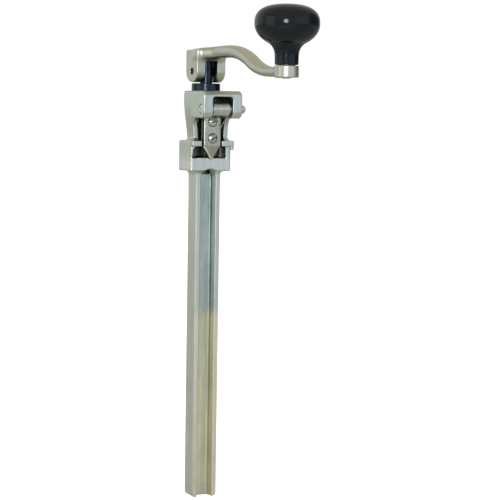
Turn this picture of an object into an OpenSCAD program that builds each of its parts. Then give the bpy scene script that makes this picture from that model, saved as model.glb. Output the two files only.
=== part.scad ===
// Bar-mounted manual can opener: a cast bar and head, a vertical arbor with
// a serrated drive gear, a hinged knife and a folding crank with a knob.
// Millimetres. +Z runs up the bar, the knife side faces -Y, and the origin
// is the centre of the bar's lower end.

/* [Bar] */
// Width of the bar
bar_w = 25.8; // [22:0.1:27]
// Depth of the bar, front to back
bar_d = 20.4; // [18:0.2:22]
// Width of the groove at the bar's front face
groove_mouth = 16.2; // [12:0.2:17]
// Width of the groove at its floor
groove_floor = 13.6; // [10:0.2:14.5]
// Depth of the groove
groove_depth = 9.4; // [6:0.2:10]
// Height of the top of the groove's arched upper end
arch_top = 328.5; // [326:0.5:333]
// Radius of the lower end's corners
foot_r = 4; // [1:0.5:6]

/* [Shoulder and gear window] */
// Height of the shoulder's underside
shoulder_bottom = 327; // [326:0.5:330]
// Width of the shoulder block
shoulder_w = 42.8; // [40:0.2:44]
// Reach of the shoulder in front of the arbor axis
shoulder_front = 14.8; // [14.4:0.1:15.2]
// Reach of the shoulder behind the arbor axis
shoulder_back = 16.6; // [16.2:0.1:18]
// Corner radius of the shoulder block
shoulder_r = 1.5; // [1:0.5:4]
// Height of the window sill
sill = 340.4; // [339.5:0.1:341]
// Height of the window's top
window_top = 351.2; // [350.8:0.1:351.6]
// Reach of the window to the left of the middle
window_left = 19.2; // [18:0.1:19.8]
// Reach of the window to the right of the middle
window_right = 15.8; // [14.5:0.1:18]
// Distance from the arbor axis to the back of the window's side pockets
window_back = 4.8; // [3:0.1:6]
// Radius of the gear chamber
chamber_r = 13.6; // [13.4:0.1:14]

/* [Rim lip] */
// Height of the lip's top face
lip_top = 357; // [356.6:0.1:357.4]
// Reach of the lip to the left of the middle
lip_left = 20.8; // [20:0.1:21.4]
// Reach of the lip to the right of the middle
lip_right = 23.8; // [22.5:0.1:24]
// Reach of the lip in front of the arbor axis
lip_front = 17.2; // [16.8:0.1:17.6]
// Height of the small hook below the lip's right end
lip_hook = 3.2; // [1:0.2:4]

/* [Cheeks and top block] */
// Width across the two cheeks
cheek_w = 37.8; // [36:0.2:39]
// Reach of the cheeks in front of the arbor axis
cheek_front = 12.3; // [11:0.1:13]
// Thickness of a cheek
cheek_t = 4.7; // [4:0.1:5]
// Height of the underside of the lugs
lug_bottom = 379; // [378:0.2:380]
// Height of the top of the head
head_top = 405.7; // [404:0.1:407]
// Width of the top block
top_w = 41; // [39:0.2:42]
// Reach of the lugs in front of the arbor axis
top_front = 43; // [42.4:0.1:43.4]
// How far the round back's centre is behind the arbor axis
back_shift = 2.5; // [1:0.1:4]
// Radius of the lugs' lower front corners
lug_r = 6.5; // [4:0.5:8]
// Radius of the fillet between cheeks and lugs
throat_r = 7.5; // [5:0.5:9]
// Width of the slot between the lugs
slot_w = 21.2; // [21:0.1:21.6]
// Height of the slot's roof
slot_roof = 400; // [398:0.5:401]
// Radius of the slot's upper corners
slot_r = 3; // [1:0.5:4]
// Distance from the arbor axis to the back of the slot
slot_back = 9.2; // [9.1:0.1:9.4]

/* [Arbor and gear] */
// How far the arbor axis is in front of the bar's centre
arbor_forward = 1; // [0:0.1:2]
// Diameter of the arbor
arbor_d = 12; // [11.8:0.1:12.2]
// Outer diameter of the two arbor bushings
bushing_d = 15; // [14.6:0.1:15.2]
// Diameter of the thrust collar
collar_d = 28.4; // [26:0.2:30]
// Height of the thrust collar
collar_h = 7.4; // [6:0.1:7.6]
// Outer diameter of the drive gear
gear_d = 25.6; // [25:0.1:26]
// Thickness of the drive gear
gear_h = 8.2; // [7.5:0.1:8.4]
// Number of teeth on the drive gear
gear_teeth = 30; // [24:1:36]
// Depth of the gear's teeth
tooth_h = 1.3; // [0.8:0.1:1.8]

/* [Knife and holder] */
// Distance of the holder's pin in front of the arbor axis
hinge_front = 35.5; // [35:0.1:36]
// Height of the holder's pin
hinge_z = 388; // [387.5:0.1:388.5]
// Diameter of the holder's pin
hinge_d = 6; // [5.5:0.1:6.4]
// Radius of the holder's barrel
barrel_r = 6.5; // [6:0.1:6.8]
// Width of the holder's arm
arm_w = 18.7; // [18:0.1:19]
// Width of the knife
knife_w = 18.5; // [17.5:0.1:18.7]
// Thickness of the knife
knife_t = 5.2; // [3:0.1:6]
// Reach of the knife's front face in front of the arbor axis
knife_front = 18.6; // [16.9:0.1:19]
// Height of the knife's top edge
knife_top = 380; // [379:0.1:380.2]
// Height where the knife's point starts
knife_v = 351.2; // [350:0.1:353]
// Height of the knife's tip
knife_tip = 337.4; // [336:0.1:340]

/* [Crank] */
// Height of the clevis pin
clevis_z = 424.8; // [424:0.1:426]
// Width across the clevis ears
clevis_w = 33; // [31:0.5:35]
// Gap between the clevis ears
clevis_gap = 14; // [13.4:0.1:15]
// Reach of the clevis in front of its pin
clevis_front = 10; // [9.5:0.1:10.2]
// Reach of the clevis behind its pin
clevis_back = 11.4; // [10:0.1:11.5]
// Distance from the arbor axis to the knob's axis
crank_r = 138; // [137:1:142]
// Distance from the arbor axis to the arm's highest place
peak_q = 43.5; // [42:0.5:50]
// Height of the arm's centre above the clevis pin at its highest place
peak_h = 18.9; // [18:0.1:20]
// Height of the arm's centre above the clevis pin at the knob
boss_h = -1.4; // [-2:0.1:-1]
// Height of the arm's section
arm_sec_h = 12; // [11:0.2:13]
// Height of its section next to the boss
arm_end_h = 9.4; // [9:0.2:10.6]
// Width of the arm's section
arm_sec_w = 14; // [11:0.2:15]
// Diameter of the boss under the knob
boss_d = 23; // [19:0.5:24]
// Height of the boss under the knob
boss_t = 10.8; // [9:0.2:11]
// Resting direction of the crank, turned from straight ahead
crank_turn = 9; // [0:1:30]

/* [Knob] */
// Diameter of the knob
knob_d = 60.8; // [56:0.2:62]
// Height of the knob
knob_h = 56; // [55:0.2:57]
// Diameter of the knob's neck
neck_d = 22.6; // [20:0.2:24]
// Height of the knob's widest place above its base
knob_wide_z = 37.7; // [36:0.1:39]
// Drop from the widest place to the imaginary bottom of its lower half
knob_low = 21.5; // [20:0.1:23]

/* [Hidden] */

$fn = 96;
eps = 0.1;             // overlap that keeps unions and cuts clean
run_gap = 0.04;        // radial running clearance
cast_colour = [0.76, 0.76, 0.72];
steel_colour = [0.62, 0.63, 0.64];
black_colour = [0.1, 0.1, 0.11];

shank_top = window_top;                 // the bar's section ends inside the shoulder
groove_bottom_y = -bar_d / 2 + groove_depth;
arbor_r = arbor_d / 2;
gear_top = window_top - 1.2;
gear_bottom = gear_top - gear_h;
drive_square = 7;                       // square end that drives the gear
washer_t = 0.8;
screw_head_h = 2.4;
access_r = 5.2;                         // hole that reaches the gear screw
access_bottom = arch_top - 4.8;
arm_back = slot_back + 0.5;
arm_front = knife_front - knife_t;
arm_bottom = gear_top + 4;
web_top = hinge_z + 3;
web_bottom = hinge_z - barrel_r;
barrel_left = -9;
barrel_right = 8.2;
screw_z = [375.6, 359.3];               // heights of the two knife screws
screw_slot_angle = [25, 45];
screw_r = 2.1;
bevel_w = 1.6;                          // width of the knife's ground edges
bevel_land = 2.8;                       // thickness left at the cutting edge
cbore_r = 4.65;                         // recess for the holder pin's head
cbore_depth = 2.6;
wire_r = 0.45;
clevis_pin_r = 3.175;
clevis_top_h = 21.2;                    // top of the clevis above its pin
web_under_h = 12.6;                     // underside of its web above the pin
arbor_top_h = web_under_h - 0.2;
root_start = 7;                         // where the arm leaves the clevis web
root_end = 27;                          // where it reaches its own width
root_w = 27;                            // its width at the web
rise_r = 380;
rise_steps = 14;
rise_angle = asin((peak_q - root_start) / rise_r);
bend_steps = 10;
bend_run = 73;                          // length of the two bends together
bend = 2 * atan((peak_h - boss_h) / bend_run);
first_r = 0.53 * bend_run / sin(bend);
second_r = 0.47 * bend_run / sin(bend);
level_q = peak_q + bend_run;
level_start = level_q - bend_run / 2;   // the section gets lower from here to the boss
stud_r = 4;
stud_tail_r = 3.2;
sleeve_r = 5.5;
boss_z = clevis_z + boss_h;
knob_base = boss_z + boss_t / 2 + 0.7;
sleeve_top = knob_base + 40;

// ---------------------------------------------------------------- helpers

// Rectangle w by d, centred, with true round corners
module round_rect(w, d, r) {
    square([w - 2 * r, d], center = true);
    square([w, d - 2 * r], center = true);
    for (x = [-1, 1], y = [-1, 1])
        translate([x * (w / 2 - r), y * (d / 2 - r)])
            circle(r);
}

// Moves its children onto the arbor's axis
module on_arbor() {
    translate([0, -arbor_forward, 0])
        children();
}

// Stands a drawing of (distance in front of the arbor, height) up in the
// object's middle plane and gives it thickness w across X
module side_extrude(w) {
    on_arbor()
        translate([w / 2, 0, 0])
            rotate([90, 0, -90])
                linear_extrude(w)
                    children();
}

// A cylinder along X at the holder's hinge, from x0 to x1
module hinge_rod(r, x0, x1) {
    translate([x0, -arbor_forward - hinge_front, hinge_z])
        rotate([0, 90, 0])
            cylinder(r = r, h = x1 - x0);
}

// Moves its children into the crank's own frame: its origin is on the
// arbor's axis at the height of the clevis pin, and -Y runs along the arm
module on_crank() {
    on_arbor()
        translate([0, 0, clevis_z])
            rotate([0, 0, crank_turn])
                children();
}

// ------------------------------------------------------------ the casting

module bar_shank() {
    difference() {
        linear_extrude(shank_top)
            round_rect(bar_w, bar_d, 0.8);
        for (side = [-1, 1])
            foot_corner(side);
    }
}

// What the rounding takes off one lower corner of the bar
module foot_corner(side) {
    translate([side * (bar_w / 2 - foot_r), 0, foot_r])
        difference() {
            translate([side * foot_r, 0, -foot_r])
                cube([2 * foot_r, bar_d + 2, 2 * foot_r], center = true);
            rotate([90, 0, 0])
                cylinder(r = foot_r, h = bar_d + 4, center = true);
        }
}

// The groove has sloping walls and a round upper end
module groove() {
    slope = (groove_mouth - groove_floor) / 2 / groove_depth;
    reach = groove_depth + shoulder_front - bar_d / 2 + 2;
    outer = groove_floor + 2 * slope * reach;
    centre_z = arch_top - groove_mouth / 2;
    translate([0, groove_bottom_y, -1])
        linear_extrude(centre_z + 1)
            polygon([
                [-groove_floor / 2, 0], [groove_floor / 2, 0],
                [outer / 2, -reach], [-outer / 2, -reach]]);
    translate([0, groove_bottom_y, centre_z])
        rotate([90, 0, 0])
            cylinder(r1 = groove_floor / 2, r2 = outer / 2, h = reach);
}

module shoulder_block() {
    depth = shoulder_front + shoulder_back;
    on_arbor()
        translate([0, (shoulder_back - shoulder_front) / 2, shoulder_bottom])
            linear_extrude(lip_top - shoulder_bottom)
                round_rect(shoulder_w, depth, shoulder_r);
}

// The lip that stops the can's rim, with a short hook at its right end
module rim_lip() {
    end_t = lip_right - shoulder_w / 2 + 1;
    on_arbor() {
        translate([-lip_left, -lip_front, window_top])
            cube([lip_left + lip_right, lip_front - 6, lip_top - window_top]);
        translate([lip_right - end_t, -lip_front, window_top - lip_hook])
            cube([end_t, lip_front - shoulder_front + 1, lip_hook + eps]);
    }
}

// Plan of a block with a round back, centred on the arbor
module round_back_plan(w, front, shift) {
    translate([0, shift])
        circle(w / 2);
    translate([-w / 2, -front])
        square([w, front + shift]);
}

module cheek_block() {
    intersection() {
        on_arbor()
            translate([0, 0, lip_top - 1])
                linear_extrude(lug_bottom - lip_top + 2)
                    round_back_plan(cheek_w, top_front, 0);
        side_extrude(cheek_w + 2)
            cheek_profile();
    }
}

// The cheeks from the side, with the round throat under the lugs
module cheek_profile() {
    translate([-cheek_w, lip_top - 1])
        square([cheek_w + cheek_front, lug_bottom - lip_top + 2]);
    difference() {
        translate([cheek_front - eps, lug_bottom - throat_r])
            square([throat_r + eps, throat_r + 1]);
        translate([cheek_front + throat_r, lug_bottom - throat_r])
            circle(throat_r);
    }
}

module top_block() {
    intersection() {
        on_arbor()
            translate([0, 0, lug_bottom])
                linear_extrude(head_top - lug_bottom)
                    round_back_plan(top_w, top_front, back_shift);
        side_extrude(top_w + 2)
            lug_profile();
    }
}

// The top block from the side, with its rounded lower front corner
module lug_profile() {
    translate([-top_w, lug_bottom])
        square([top_w + top_front - lug_r, head_top - lug_bottom]);
    translate([0, lug_bottom + lug_r])
        square([top_front, head_top - lug_bottom - lug_r]);
    translate([top_front - lug_r, lug_bottom + lug_r])
        circle(lug_r);
}

// Everything that is open: the gear chamber and its window, the space
// between the cheeks, and the slot between the lugs
module head_openings() {
    cavity_r = cheek_w / 2 - cheek_t;
    on_arbor() {
        translate([0, 0, sill])
            cylinder(r = chamber_r, h = window_top - sill);
        translate([0, 0, lip_top])
            linear_extrude(lug_bottom - lip_top)
                round_back_plan(2 * cavity_r, top_front + 5, 0);
        translate([-slot_w / 2, -top_front - 5, window_top - 1])
            cube([slot_w, top_front + 5 - slot_back, slot_roof - slot_r - window_top + 1]);
        translate([0, -slot_back, 0])
            rotate([90, 0, 0])
                linear_extrude(top_front)
                    translate([0, slot_roof - slot_r])
                        round_rect(slot_w, 2 * slot_r, slot_r - 0.01);
        translate([0, -window_back, 0])
            rotate([90, 0, 0])
                linear_extrude(lip_front)
                    window_outline();
    }
}

// The window reaches further to the left, where its upper corner is rounder
module window_outline() {
    left_r = 5.5;
    right_r = 1.5;
    wide = window_left + window_right;
    translate([-window_left, sill])
        square([wide, window_top - sill - left_r]);
    translate([-window_left + left_r, window_top - left_r - eps])
        square([wide - left_r, left_r - right_r + eps]);
    translate([-window_left + left_r, window_top - right_r - eps])
        square([wide - left_r - right_r, right_r + eps]);
    translate([-window_left + left_r, window_top - left_r])
        circle(left_r);
    translate([window_right - right_r, window_top - right_r])
        circle(right_r);
}

module body_casting() {
    color(cast_colour)
    difference() {
        union() {
            bar_shank();
            shoulder_block();
            rim_lip();
            cheek_block();
            top_block();
        }
        groove();
        head_openings();
        on_arbor() {
            translate([0, 0, window_top - 1])
                cylinder(d = bushing_d, h = head_top - window_top + 2);
            translate([0, 0, access_bottom])
                cylinder(r = access_r, h = sill - access_bottom + eps);
        }
        hinge_rod(hinge_d / 2, -top_w, top_w);
        hinge_rod(cbore_r, -top_w, -top_w / 2 + cbore_depth);
    }
}

// ------------------------------------------------------ arbor and gear set

module bushing(z0, z1) {
    color("darkgoldenrod")
    on_arbor()
        translate([0, 0, z0])
            difference() {
                cylinder(d = bushing_d, h = z1 - z0);
                translate([0, 0, -1])
                    cylinder(r = arbor_r + run_gap, h = z1 - z0 + 2);
            }
}

module upper_arbor_bushing() {
    bushing(lug_bottom, head_top);
}

module lower_arbor_bushing() {
    bushing(window_top, lip_top);
}

// A round shaft with a square lower end. Its top is flat in front and round
// behind, so the crank folds up freely and stops level.
module arbor() {
    tap_depth = 12;
    color(black_colour)
    difference() {
        on_arbor() {
            translate([0, 0, gear_top])
                cylinder(r = arbor_r, h = clevis_z + arbor_top_h - gear_top);
            translate([-drive_square / 2, -drive_square / 2, gear_bottom])
                cube([drive_square, drive_square, gear_h + eps]);
        }
        on_crank() {
            rotate([0, 90, 0])
                cylinder(r = clevis_pin_r + run_gap, h = 2 * arbor_d, center = true);
            difference() {
                translate([-arbor_d, 0.5, arbor_r])
                    cube(2 * arbor_d);
                rotate([0, 90, 0])
                    cylinder(r = arbor_top_h, h = 3 * arbor_d, center = true);
            }
        }
        on_arbor()
            translate([0, 0, gear_bottom - 1])
                cylinder(r = screw_r, h = tap_depth + 1);
        collar_pin_hole();
    }
}

// A cross hole through the collar and the arbor, straight front to back
module collar_pin_hole() {
    on_arbor()
        translate([0, 0, head_top + collar_h / 2])
            rotate([90, 0, 90])
                cylinder(r = 1.5, h = collar_d + 2, center = true);
}

module thrust_collar() {
    color(black_colour)
    difference() {
        on_arbor()
            translate([0, 0, head_top + run_gap])
                difference() {
                    cylinder(d = collar_d, h = collar_h - run_gap);
                    translate([0, 0, -1])
                        cylinder(r = arbor_r, h = collar_h + 2);
                }
        collar_pin_hole();
    }
}

module collar_pin() {
    color(black_colour)
    on_arbor()
        translate([0, 0, head_top + collar_h / 2])
            rotate([90, 0, 90])
                difference() {
                    cylinder(r = 1.5, h = collar_d - 1, center = true);
                    cylinder(r = 0.8, h = collar_d, center = true);
                }
}

function gear_point(i, r, part) =
    let (a = 360 * (i + part) / gear_teeth)
    [r * cos(a), r * sin(a)];

// Pointed teeth with narrow flats, cut straight up the rim
module drive_gear() {
    root = gear_d / 2 - tooth_h;
    color([0.3, 0.3, 0.3])
    on_arbor()
        translate([0, 0, gear_bottom])
            linear_extrude(gear_h)
                difference() {
                    polygon([for (i = [0:gear_teeth - 1])
                        each [
                            gear_point(i, root, 0),
                            gear_point(i, root, 0.1),
                            gear_point(i, gear_d / 2, 0.47),
                            gear_point(i, gear_d / 2, 0.63)]]);
                    square(drive_square, center = true);
                }
}

module gear_washer() {
    color(steel_colour)
    on_arbor()
        translate([0, 0, gear_bottom - washer_t])
            difference() {
                cylinder(r = 6.4, h = washer_t);
                translate([0, 0, -1])
                    cylinder(r = screw_r + 0.1, h = washer_t + 2);
            }
}

module gear_screw() {
    head_bottom = gear_bottom - washer_t - screw_head_h;
    color(steel_colour)
    on_arbor()
        difference() {
            union() {
                translate([0, 0, head_bottom])
                    cylinder(r = 4, h = screw_head_h);
                translate([0, 0, head_bottom])
                    cylinder(r = screw_r, h = screw_head_h + washer_t + 9);
            }
            translate([-5, -0.6, head_bottom - eps])
                cube([10, 1.2, 1.2 + eps]);
        }
}

// -------------------------------------------------------- knife and holder

// The holder from the side: an arm hanging behind the knife and a web that
// reaches forward to the barrel
module holder_profile() {
    polygon([
        [arm_back, arm_bottom], [arm_front, arm_bottom],
        [arm_front, web_bottom - 1], [arm_front + 1, web_bottom],
        [hinge_front, web_bottom], [hinge_front, web_top],
        [arm_back + 1.8, web_top], [arm_back + 0.6, web_top - 1.2],
        [arm_back, hinge_z - 2]]);
}

module knife_holder() {
    barrel_w = barrel_right - barrel_left;
    color(cast_colour)
    difference() {
        union() {
            intersection() {
                side_extrude(arm_w)
                    holder_profile();
                translate([barrel_left, -top_front, 0])
                    cube([arm_w / 2 - barrel_left, top_front, head_top]);
            }
            hinge_rod(barrel_r, barrel_left, barrel_left + barrel_w);
        }
        hinge_rod(hinge_d / 2 + run_gap, -slot_w, slot_w);
        // the web's right side makes room for the spring's coils
        hinge_rod(barrel_r + 0.6, barrel_right, slot_w);
        knife_screw_holes();
    }
}

module knife_screw_holes() {
    for (z = screw_z)
        on_arbor()
            translate([0, -arm_back + 1, z])
                rotate([90, 0, 0])
                    cylinder(r = screw_r, h = knife_front);
}

// What grinding takes off the right-hand side of the knife's point
module bevel_cut() {
    rise = knife_v - knife_tip;
    lean = atan2(knife_w / 2, rise);
    edge = norm([knife_w / 2, rise]);
    deep = knife_t - bevel_land;
    translate([knife_w / 2, 0, knife_v])
        rotate([0, lean, 0])
            translate([0, 0, -edge - 3])
                linear_extrude(edge + 8)
                    polygon([
                        [-bevel_w - 0.5 * bevel_w / deep, -0.5], [4, -0.5],
                        [4, deep], [0, deep]]);
}

module knife() {
    color(steel_colour)
    difference() {
        on_arbor()
            translate([0, -knife_front, 0])
                difference() {
                    translate([0, knife_t, 0])
                        rotate([90, 0, 0])
                            linear_extrude(knife_t)
                                polygon([
                                    [-knife_w / 2, knife_top], [knife_w / 2, knife_top],
                                    [knife_w / 2, knife_v], [0, knife_tip],
                                    [-knife_w / 2, knife_v]]);
                    bevel_cut();
                    mirror([1, 0, 0])
                        bevel_cut();
                }
        // the back of the tip is ground away so it clears the sill
        on_arbor()
            translate([-knife_w / 2, -shoulder_front - 0.2, knife_tip - 1])
                cube([knife_w, knife_t, sill - knife_tip + 1.3]);
        knife_screw_holes();
    }
}

// Two slotted screws with low domed heads
module knife_screws() {
    head_r = 4.4;
    head_h = 2;
    dome_r = 7;
    color(steel_colour)
    for (i = [0, 1])
        on_arbor()
            translate([0, -knife_front, screw_z[i]])
                rotate([90, 0, 0])
                    difference() {
                        union() {
                            intersection() {
                                cylinder(r = head_r, h = head_h);
                                translate([0, 0, head_h - dome_r])
                                    sphere(dome_r);
                            }
                            translate([0, 0, -knife_t - 3.8])
                                cylinder(r = screw_r, h = knife_t + 3.8 + eps);
                        }
                        rotate([0, 0, screw_slot_angle[i]])
                            translate([-head_r - 1, -0.55, head_h - 1])
                                cube([2 * head_r + 2, 1.1, 2]);
                    }
}

module holder_pin() {
    head_h = 2;
    head_x = -top_w / 2 + cbore_depth - head_h;
    nut_seat = top_w / 2;
    color(steel_colour)
    difference() {
        union() {
            hinge_rod(4.3, head_x, head_x + head_h);
            hinge_rod(hinge_d / 2, head_x + head_h - eps, nut_seat);
            hinge_rod(2, nut_seat - eps, nut_seat + 3.4);
        }
        translate([head_x - eps, -arbor_forward - hinge_front - 5, hinge_z - 0.5])
            cube([0.8 + eps, 10, 1]);
    }
}

module holder_pin_nut() {
    color(steel_colour)
    translate([top_w / 2, -arbor_forward - hinge_front, hinge_z])
        rotate([0, 90, 0])
            difference() {
                intersection() {
                    cylinder(r = 4.1, h = 6.2);
                    translate([0, 0, 1.2])
                        sphere(5);
                }
                translate([0, 0, -1])
                    cylinder(r = 2, h = 4.4);
            }
}

module holder_washer() {
    color(steel_colour)
    difference() {
        hinge_rod(5.6, -slot_w / 2 + 0.05, barrel_left - 0.05);
        hinge_rod(hinge_d / 2 + 0.1, -slot_w, 0);
    }
}

// A closed skin over a list of rings that all have the same number of points
module skin(rings) {
    count = len(rings);
    n = len(rings[0]);
    polyhedron(
        points = [for (r = rings) each r],
        faces = [
            [for (k = [0:n - 1]) k],
            [for (k = [0:n - 1]) count * n - 1 - k],
            for (i = [0:count - 2], k = [0:n - 1])
                [i * n + k, (i + 1) * n + k,
                    (i + 1) * n + (k + 1) % n, i * n + (k + 1) % n]]);
}

// Rings of a round tube along a list of points, none of whose directions
// runs along X
function unit(v) = v / norm(v);
function path_dir(p, i) =
    unit(p[min(i + 1, len(p) - 1)] - p[max(i - 1, 0)]);
function tube_ring(p, i, r, n) =
    let (t = path_dir(p, i), u = unit(cross(t, [1, 0, 0])), v = cross(t, u))
    [for (k = [0:n - 1]) p[i] + r * (cos(360 * k / n) * u + sin(360 * k / n) * v)];

module wire(path) {
    skin([for (i = [0:len(path) - 1]) tube_ring(path, i, wire_r, 8)]);
}

// A torsion spring: one leg bears on the back of the slot, the coil goes
// round the pin, and the other leg presses on the front of the knife
module holder_spring() {
    coil_r = 4.7;
    first_angle = 90;
    last_angle = 598;
    steps = 26;
    pitch = 0.95;
    x_start = slot_w / 2 - wire_r - 0.1;
    x_end = x_start - pitch * (last_angle - first_angle) / 360;
    slot_y = hinge_front - slot_back - wire_r - 0.1;
    knife_y = hinge_front - knife_front - wire_r - 0.1;
    coil = [for (i = [0:steps])
        let (u = i / steps, a = first_angle + (last_angle - first_angle) * u)
        [x_start + (x_end - x_start) * u, coil_r * cos(a), coil_r * sin(a)]];
    slot_leg = [[x_start, slot_y, 8.6], [x_start, 12, 6.9], [x_start, 3, 4.9]];
    knife_leg = [
        [x_end, 3, -7.4], [x_end, knife_y - 2.2, -15.3],
        [x_end, knife_y, -17.2], [x_end - 0.9, knife_y, -19.2]];
    color(steel_colour)
    translate([0, -arbor_forward - hinge_front, hinge_z])
        wire(concat(slot_leg, coil, knife_leg));
}

// --------------------------------------------------------------- the crank

// Points [distance from the arbor, height above the clevis pin, slope] along
// the middle of the arm: it rises a little, bends down and levels out
function rise_point(a) =
    [peak_q - rise_r * sin(a), peak_h - rise_r * (1 - cos(a)), a];
function bend_point(a) =
    [peak_q + first_r * sin(a), peak_h - first_r * (1 - cos(a)), -a];
function level_point(a) =
    [level_q - second_r * sin(a), boss_h + second_r * (1 - cos(a)), -a];
arm_line = concat(
    [for (i = [0:rise_steps]) rise_point(rise_angle * (1 - i / rise_steps))],
    [for (i = [1:bend_steps]) bend_point(bend * i / bend_steps)],
    [for (i = [1:bend_steps]) level_point(bend * (1 - i / bend_steps))],
    [[crank_r - 1, boss_h, 0]]);

// The section is a rounded rectangle that widens into the clevis web
function smooth(t) = let (u = min(max(t, 0), 1)) u * u * (3 - 2 * u);
function section_w(q) =
    arm_sec_w + (root_w - arm_sec_w) * smooth((root_end - q) / (root_end - root_start));
function section_h(q) =
    arm_sec_h + (arm_end_h - arm_sec_h) * smooth((q - level_start) / (level_q - level_start));
function round_power(v) = sign(v) * pow(abs(v), 0.72);
function arm_ring(c, n) =
    [for (k = [0:n - 1])
        let (
            across = section_w(c[0]) / 2 * round_power(cos(360 * k / n)),
            up = section_h(c[0]) / 2 * round_power(sin(360 * k / n)))
        [across, -c[0] + up * sin(c[2]), c[1] + up * cos(c[2])]];

module arm_sweep() {
    skin([for (c = arm_line) arm_ring(c, 24)]);
}

// An ear with its round lower end, seen along the pin
module ear_profile() {
    end_r = (clevis_front + clevis_back) / 2;
    corner = 2.5;
    translate([clevis_front - end_r, 0])
        circle(end_r);
    translate([-clevis_back, 0])
        square([2 * end_r, clevis_top_h - corner]);
    translate([-clevis_back + corner, clevis_top_h / 2])
        square([2 * end_r - corner, clevis_top_h / 2]);
    translate([-clevis_back + corner, clevis_top_h - corner])
        circle(corner);
}

module clevis_block() {
    difference() {
        rotate([90, 0, -90])
            translate([0, 0, -clevis_w / 2])
                linear_extrude(clevis_w)
                    ear_profile();
        translate([-clevis_gap / 2, -2 * clevis_front, -2 * clevis_front])
            cube([clevis_gap, 4 * clevis_front, 2 * clevis_front + web_under_h]);
    }
}

module crank_arm() {
    color(cast_colour)
    on_crank()
        difference() {
            union() {
                clevis_block();
                difference() {
                    arm_sweep();
                    translate([-clevis_gap / 2, -clevis_front, -1])
                        cube([clevis_gap, 2 * clevis_front, web_under_h + 1]);
                }
                translate([0, -crank_r, boss_h - boss_t / 2])
                    cylinder(d = boss_d, h = boss_t);
            }
            rotate([0, 90, 0])
                cylinder(r = clevis_pin_r, h = 2 * clevis_w, center = true);
            translate([0, -crank_r, boss_h - boss_t])
                cylinder(r = stud_tail_r, h = 2 * boss_t);
        }
}

// A straight pin pressed into the ears, a little below their faces
module clevis_pin() {
    color(black_colour)
    on_crank()
        rotate([0, 90, 0])
            cylinder(r = clevis_pin_r, h = clevis_w - 1.6, center = true);
}

// ---------------------------------------------------------------- the knob

// Moves its children onto the knob's axis
module on_knob() {
    on_crank()
        translate([0, -crank_r, -clevis_z])
            children();
}

// A stud with a riveted tail under the boss, a shoulder that rests on it,
// and a groove for the retaining ring near its top
module knob_stud() {
    boss_top = boss_z + boss_t / 2;
    boss_bottom = boss_z - boss_t / 2;
    color(steel_colour)
    on_knob()
        difference() {
            union() {
                translate([0, 0, boss_bottom - 1.1])
                    cylinder(r1 = 3.6, r2 = 4.6, h = 1.1);
                translate([0, 0, boss_bottom - eps])
                    cylinder(r = stud_tail_r, h = boss_t + 2 * eps);
                translate([0, 0, boss_top])
                    cylinder(r = stud_r, h = sleeve_top - boss_top - 1);
            }
            translate([0, 0, sleeve_top - 6])
                difference() {
                    cylinder(r = stud_r + 1, h = 1.2);
                    translate([0, 0, -1])
                        cylinder(r = stud_r - 0.9, h = 4);
                }
        }
}

module knob_washer() {
    color(steel_colour)
    on_knob()
        translate([0, 0, boss_z + boss_t / 2])
            difference() {
                cylinder(r = 8.6, h = 0.6);
                translate([0, 0, -1])
                    cylinder(r = stud_r + 0.1, h = 3);
            }
}

// The sleeve is pressed into the knob; a wider place inside it holds the ring
module knob_sleeve() {
    color("darkgoldenrod")
    on_knob()
        difference() {
            translate([0, 0, knob_base])
                cylinder(r = sleeve_r, h = sleeve_top - knob_base);
            translate([0, 0, knob_base - 1])
                cylinder(r = stud_r + run_gap, h = sleeve_top);
            translate([0, 0, sleeve_top - 6.2])
                cylinder(r = stud_r + 0.8, h = 1.6);
        }
}

module knob_retaining_ring() {
    color(steel_colour)
    on_knob()
        translate([0, 0, sleeve_top - 5.9])
            difference() {
                cylinder(r = stud_r + 0.7, h = 1);
                translate([0, 0, -1])
                    cylinder(r = stud_r - 0.85, h = 3);
                translate([0, -2, -1])
                    cube([stud_r + 2, 4, 3]);
            }
}

// Outline of the knob: a straight neck, a hollow curve tangent to it, half an
// ellipse up to the widest place, and a fuller, flatter half above it
function bulge_z(r) = knob_wide_z - knob_low * sqrt(1 - pow(2 * r / knob_d, 2));
function bulge_slope(r) =
    4 * knob_low * r / (knob_d * knob_d * sqrt(1 - pow(2 * r / knob_d, 2)));

module knob_outline() {
    neck_r = neck_d / 2;
    join_r = neck_r + 6.8;
    turn = 90 - atan(bulge_slope(join_r));
    hollow_r = (join_r - neck_r) / (1 - cos(turn));
    hollow_z = bulge_z(join_r) - hollow_r * sin(turn);
    join_t = acos(2 * join_r / knob_d);
    top = knob_h - knob_wide_z;
    fullness = 0.8;
    polygon(concat(
        [[0, 0], [neck_r - 1.2, 0], [neck_r, 1.2]],
        [for (a = [0:turn / 10:turn - 0.1])
            [neck_r + hollow_r * (1 - cos(a)), hollow_z + hollow_r * sin(a)]],
        [for (t = [-join_t:join_t / 16:0])
            [knob_d / 2 * cos(t), knob_wide_z + knob_low * sin(t)]],
        [for (t = [5:5:90])
            [knob_d / 2 * pow(cos(t), fullness), knob_wide_z + top * pow(sin(t), fullness)]]));
}

module knob() {
    color(black_colour)
    on_knob()
        translate([0, 0, knob_base])
            difference() {
                rotate_extrude()
                    knob_outline();
                translate([0, 0, -1])
                    cylinder(r = sleeve_r, h = sleeve_top - knob_base + 1);
            }
}

body_casting();
upper_arbor_bushing();
lower_arbor_bushing();
arbor();
thrust_collar();
collar_pin();
drive_gear();
gear_washer();
gear_screw();
knife_holder();
knife();
knife_screws();
holder_pin();
holder_pin_nut();
holder_washer();
holder_spring();
crank_arm();
clevis_pin();
knob_stud();
knob_washer();
knob_sleeve();
knob_retaining_ring();
knob();
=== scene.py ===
# A bar-mounted manual can opener. Lengths in the shape code are millimetres in
# the CAD model's frame: +Z up the bar, the knife side towards -Y.
import math
from concurrent.futures import ThreadPoolExecutor

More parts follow.
